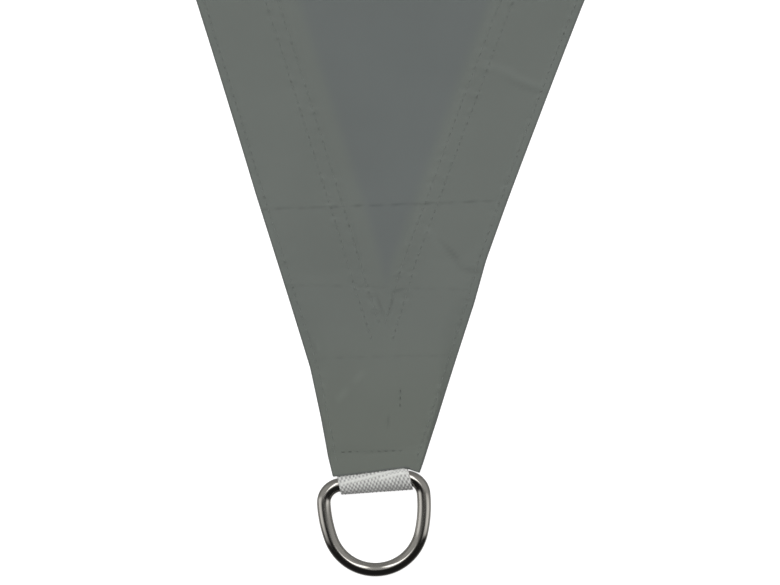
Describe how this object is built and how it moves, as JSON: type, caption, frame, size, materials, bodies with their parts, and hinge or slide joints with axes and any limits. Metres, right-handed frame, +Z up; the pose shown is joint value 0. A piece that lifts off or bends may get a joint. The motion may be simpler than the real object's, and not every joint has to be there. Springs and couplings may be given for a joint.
{
  "type": "shade sail",
  "caption": "Triangular cloth shade sail lying flat, with hemmed hollow edges and a steel D ring held by a webbing loop at each corner.",
  "frame": {"origin": "middle of the whole sail's bounding box in plan, on the surface that it lies on", "axes": "+Z up from the surface, -Y to the corner that the picture shows, +X to that corner's right seen from above"},
  "size_m": [3.0082, 2.6136, 0.0131],
  "materials": {
    "cloth": "matt dark grey-green sailcloth",
    "webbing": "matt off-white woven strap",
    "ring": "polished stainless"
  },
  "bodies": {
    "root": {"sail_cloth": "cloth", "webbing_front": "webbing", "webbing_right": "webbing", "webbing_left": "webbing", "ring_front": "ring", "ring_right": "ring", "ring_left": "ring"}
  },
  "joints": []
}
